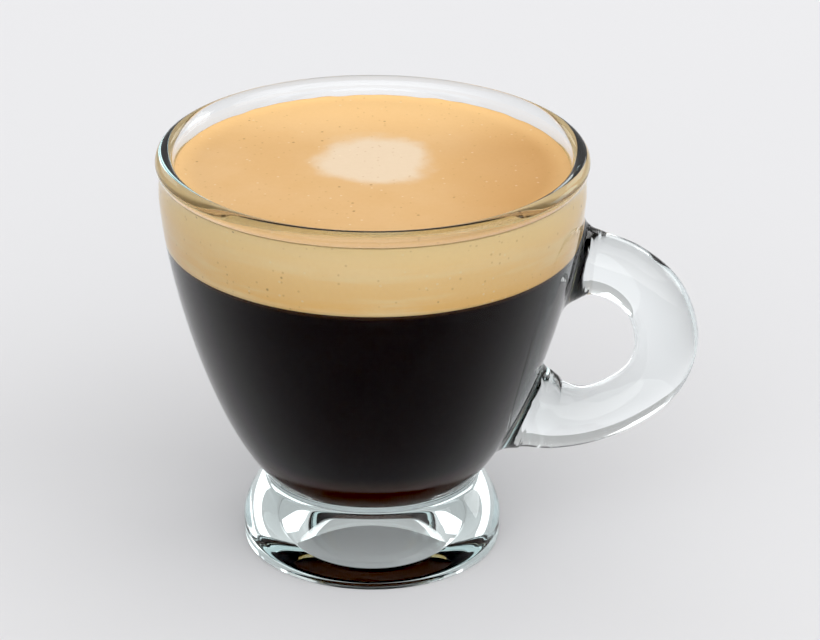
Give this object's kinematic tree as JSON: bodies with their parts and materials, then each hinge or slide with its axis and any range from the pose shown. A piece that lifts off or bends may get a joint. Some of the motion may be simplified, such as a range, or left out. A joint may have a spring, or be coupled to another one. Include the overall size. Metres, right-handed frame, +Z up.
{
  "type": "double espresso in a glass cup",
  "caption": "Espresso with a thick tan crema over black coffee, in a footed clear glass cup with a round ring handle.",
  "frame": {"origin": "centre of the foot's flat underside, on the surface that the cup stands on", "axes": "+Z up along the cup's axis, +X towards the handle"},
  "size_m": [0.0824, 0.065, 0.064],
  "materials": {
    "glass": "clear polished, faint blue-green in thick places",
    "coffee": "wet, near black, dark red-brown where thin",
    "crema": "soft fine foam, slightly moist"
  },
  "bodies": {
    "root": {"glass_cup": "glass", "coffee": "coffee", "crema": "crema"}
  },
  "joints": []
}
